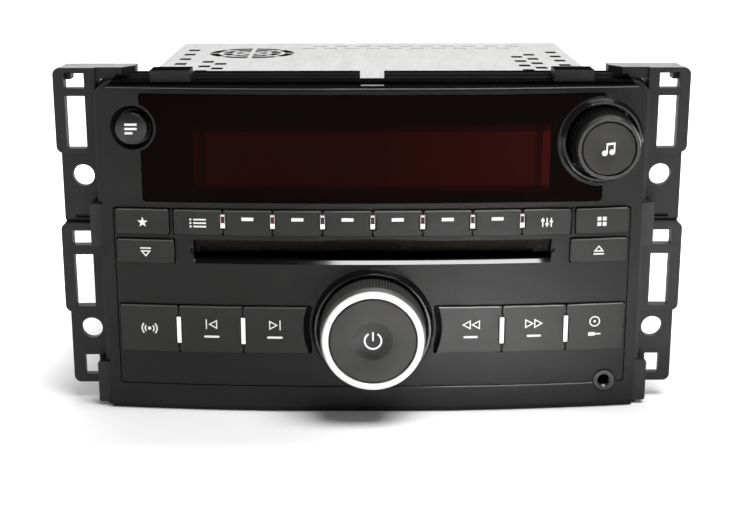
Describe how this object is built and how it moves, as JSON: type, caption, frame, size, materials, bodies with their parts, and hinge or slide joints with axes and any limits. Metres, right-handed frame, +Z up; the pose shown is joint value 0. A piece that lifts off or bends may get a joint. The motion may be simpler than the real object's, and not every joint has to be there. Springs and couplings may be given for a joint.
{
  "type": "car radio with disc player",
  "caption": "Car radio and disc player with a bowed key fascia, disc slot, two ringed push knobs, mounting ears, a vented steel chassis and a slot-loading disc mechanism.",
  "frame": {"origin": "under the middle of the fascia on the surface the radio stands on, in the plane of the front of the mounting ears", "axes": "+X to the right seen from the front, +Y to the back, +Z up"},
  "size_m": [0.224, 0.1943, 0.123],
  "materials": {
    "fascia_black": "satin, fine grain",
    "key_black": "satin",
    "carrier_black": "matte, moulded grain",
    "lens_red": "polished, dark red",
    "display_glass": "smooth glass over a red filter",
    "light_white": "clear and white moulded",
    "felt": "short pile",
    "trim_white": "bright satin chrome",
    "board_green": "solder mask",
    "part_grey": "moulded",
    "socket_black": "polished",
    "zinc_steel": "zinc plated sheet",
    "bright_steel": "polished",
    "sink_alloy": "extruded, matt",
    "tin_plate": "tin plated",
    "fan_black": "moulded",
    "roller_rubber": "matt",
    "pinion_white": "natural moulded",
    "screw_brass": "turned"
  },
  "bodies": {
    "radio": {"fascia": "fascia_black", "key_panel": "fascia_black", "display_lens": "lens_red", "display_module": "display_glass", "light_pipes": "light_white", "dust_curtain": "felt", "carrier_frame": "carrier_black", "left_ear": "carrier_black", "right_ear": "carrier_black", "front_board": "board_green", "key_switches": "part_grey", "volume_encoder": "tin_plate", "tune_encoder": "tin_plate", "audio_socket": "socket_black", "chassis_tray": "zinc_steel", "top_cover": "zinc_steel", "cover_screws": "bright_steel", "heat_sink": "sink_alloy", "main_board": "board_green", "harness_connector": "socket_black", "aerial_socket": "tin_plate", "fan_frame": "fan_black", "deck_frame": "zinc_steel", "deck_dampers": "roller_rubber", "loading_motor": "bright_steel", "spindle_motor": "bright_steel", "guide_rods": "bright_steel", "sled_motor": "bright_steel"},
    "favourite_key": {"favourite_key": "key_black"},
    "menu_key": {"menu_key": "key_black"},
    "preset_key_1": {"preset_key_1": "key_black"},
    "preset_key_2": {"preset_key_2": "key_black"},
    "preset_key_3": {"preset_key_3": "key_black"},
    "preset_key_4": {"preset_key_4": "key_black"},
    "preset_key_5": {"preset_key_5": "key_black"},
    "preset_key_6": {"preset_key_6": "key_black"},
    "tone_key": {"tone_key": "key_black"},
    "category_key": {"category_key": "key_black"},
    "load_key": {"load_key": "key_black"},
    "eject_key": {"eject_key": "key_black"},
    "band_key": {"band_key": "key_black"},
    "seek_down_key": {"seek_down_key": "key_black"},
    "seek_up_key": {"seek_up_key": "key_black"},
    "rewind_key": {"rewind_key": "key_black"},
    "forward_key": {"forward_key": "key_black"},
    "source_key": {"source_key": "key_black"},
    "info_button": {"info_button": "key_black"},
    "volume_knob": {"volume_ring": "key_black", "volume_trim": "trim_white"},
    "power_button": {"power_button": "key_black"},
    "tune_knob": {"tune_ring": "key_black"},
    "tone_button": {"tone_button": "key_black"},
    "fan_rotor": {"fan_rotor": "fan_black"},
    "loading_roller": {"loading_roller": "roller_rubber"},
    "loading_pinion": {"loading_pinion": "pinion_white"},
    "turntable": {"turntable": "fan_black"},
    "pickup_sled": {"pickup_sled": "fan_black"},
    "lead_screw": {"lead_screw": "screw_brass"},
    "clamp_arm": {"clamp_arm": "zinc_steel"}
  },
  "joints": [
    {"name": "favourite_key_press", "type": "slide", "parent": "radio", "child": "favourite_key", "axis": [0, 1, 0], "range_m": [0, 0.0008], "stiffness_N_per_m": 800},
    {"name": "menu_key_press", "type": "slide", "parent": "radio", "child": "menu_key", "axis": [0, 1, 0], "range_m": [0, 0.0008], "stiffness_N_per_m": 800},
    {"name": "preset_key_1_press", "type": "slide", "parent": "radio", "child": "preset_key_1", "axis": [0, 1, 0], "range_m": [0, 0.0008], "stiffness_N_per_m": 800},
    {"name": "preset_key_2_press", "type": "slide", "parent": "radio", "child": "preset_key_2", "axis": [0, 1, 0], "range_m": [0, 0.0008], "stiffness_N_per_m": 800},
    {"name": "preset_key_3_press", "type": "slide", "parent": "radio", "child": "preset_key_3", "axis": [0, 1, 0], "range_m": [0, 0.0008], "stiffness_N_per_m": 800},
    {"name": "preset_key_4_press", "type": "slide", "parent": "radio", "child": "preset_key_4", "axis": [0, 1, 0], "range_m": [0, 0.0008], "stiffness_N_per_m": 800},
    {"name": "preset_key_5_press", "type": "slide", "parent": "radio", "child": "preset_key_5", "axis": [0, 1, 0], "range_m": [0, 0.0008], "stiffness_N_per_m": 800},
    {"name": "preset_key_6_press", "type": "slide", "parent": "radio", "child": "preset_key_6", "axis": [0, 1, 0], "range_m": [0, 0.0008], "stiffness_N_per_m": 800},
    {"name": "tone_key_press", "type": "slide", "parent": "radio", "child": "tone_key", "axis": [0, 1, 0], "range_m": [0, 0.0008], "stiffness_N_per_m": 800},
    {"name": "category_key_press", "type": "slide", "parent": "radio", "child": "category_key", "axis": [0, 1, 0], "range_m": [0, 0.0008], "stiffness_N_per_m": 800},
    {"name": "load_key_press", "type": "slide", "parent": "radio", "child": "load_key", "axis": [0, 1, 0], "range_m": [0, 0.0008], "stiffness_N_per_m": 800},
    {"name": "eject_key_press", "type": "slide", "parent": "radio", "child": "eject_key", "axis": [0, 1, 0], "range_m": [0, 0.0008], "stiffness_N_per_m": 800},
    {"name": "band_key_press", "type": "slide", "parent": "radio", "child": "band_key", "axis": [0, 1, 0], "range_m": [0, 0.0008], "stiffness_N_per_m": 800},
    {"name": "seek_down_key_press", "type": "slide", "parent": "radio", "child": "seek_down_key", "axis": [0, 1, 0], "range_m": [0, 0.0008], "stiffness_N_per_m": 800},
    {"name": "seek_up_key_press", "type": "slide", "parent": "radio", "child": "seek_up_key", "axis": [0, 1, 0], "range_m": [0, 0.0008], "stiffness_N_per_m": 800},
    {"name": "rewind_key_press", "type": "slide", "parent": "radio", "child": "rewind_key", "axis": [0, 1, 0], "range_m": [0, 0.0008], "stiffness_N_per_m": 800},
    {"name": "forward_key_press", "type": "slide", "parent": "radio", "child": "forward_key", "axis": [0, 1, 0], "range_m": [0, 0.0008], "stiffness_N_per_m": 800},
    {"name": "source_key_press", "type": "slide", "parent": "radio", "child": "source_key", "axis": [0, 1, 0], "range_m": [0, 0.0008], "stiffness_N_per_m": 800},
    {"name": "info_button_press", "type": "slide", "parent": "radio", "child": "info_button", "axis": [0, 1, 0], "range_m": [0, 0.0008], "stiffness_N_per_m": 800},
    {"name": "volume_turn", "type": "hinge", "parent": "radio", "child": "volume_knob", "pos_m": [0, -0.02, 0.0322], "axis": [0, 1, 0], "continuous": true},
    {"name": "power_press", "type": "slide", "parent": "radio", "child": "power_button", "axis": [0, 1, 0], "range_m": [0, 0.001], "stiffness_N_per_m": 800},
    {"name": "tune_turn", "type": "hinge", "parent": "radio", "child": "tune_knob", "pos_m": [0.0799, -0.015, 0.0986], "axis": [0, 1, 0], "continuous": true},
    {"name": "tone_press", "type": "slide", "parent": "radio", "child": "tone_button", "axis": [0, 1, 0], "range_m": [0, 0.001], "stiffness_N_per_m": 800},
    {"name": "fan_turn", "type": "hinge", "parent": "radio", "child": "fan_rotor", "pos_m": [-0.0507, 0.1103, 0.109], "axis": [0, 0, 1], "continuous": true},
    {"name": "roller_turn", "type": "hinge", "parent": "radio", "child": "loading_roller", "pos_m": [0, 0.024, 0.05405], "axis": [1, 0, 0], "continuous": true},
    {"name": "pinion_turn", "type": "hinge", "parent": "radio", "child": "loading_pinion", "pos_m": [-0.0633, 0.03414, 0.05298], "axis": [1, 0, 0], "continuous": true},
    {"name": "disc_turn", "type": "hinge", "parent": "radio", "child": "turntable", "pos_m": [0, 0.074, 0.0542], "axis": [0, 0, 1], "continuous": true},
    {"name": "pickup_travel", "type": "slide", "parent": "radio", "child": "pickup_sled", "axis": [1, 0, 0], "range_m": [0, 0.034]},
    {"name": "lead_screw_turn", "type": "hinge", "parent": "radio", "child": "lead_screw", "pos_m": [0.04, 0.048, 0.053], "axis": [1, 0, 0], "range_deg": [0, 4090]},
    {"name": "clamp_lift", "type": "hinge", "parent": "radio", "child": "clamp_arm", "pos_m": [0, 0.132, 0.0662], "axis": [-1, 0, 0], "range_deg": [0, 5]}
  ],
  "couplings": [
    {"joint": "pinion_turn", "follows": "roller_turn", "ratio": -2.4},
    {"joint": "lead_screw_turn", "follows": "pickup_travel", "rad_per_m": 2094.4}
  ]
}
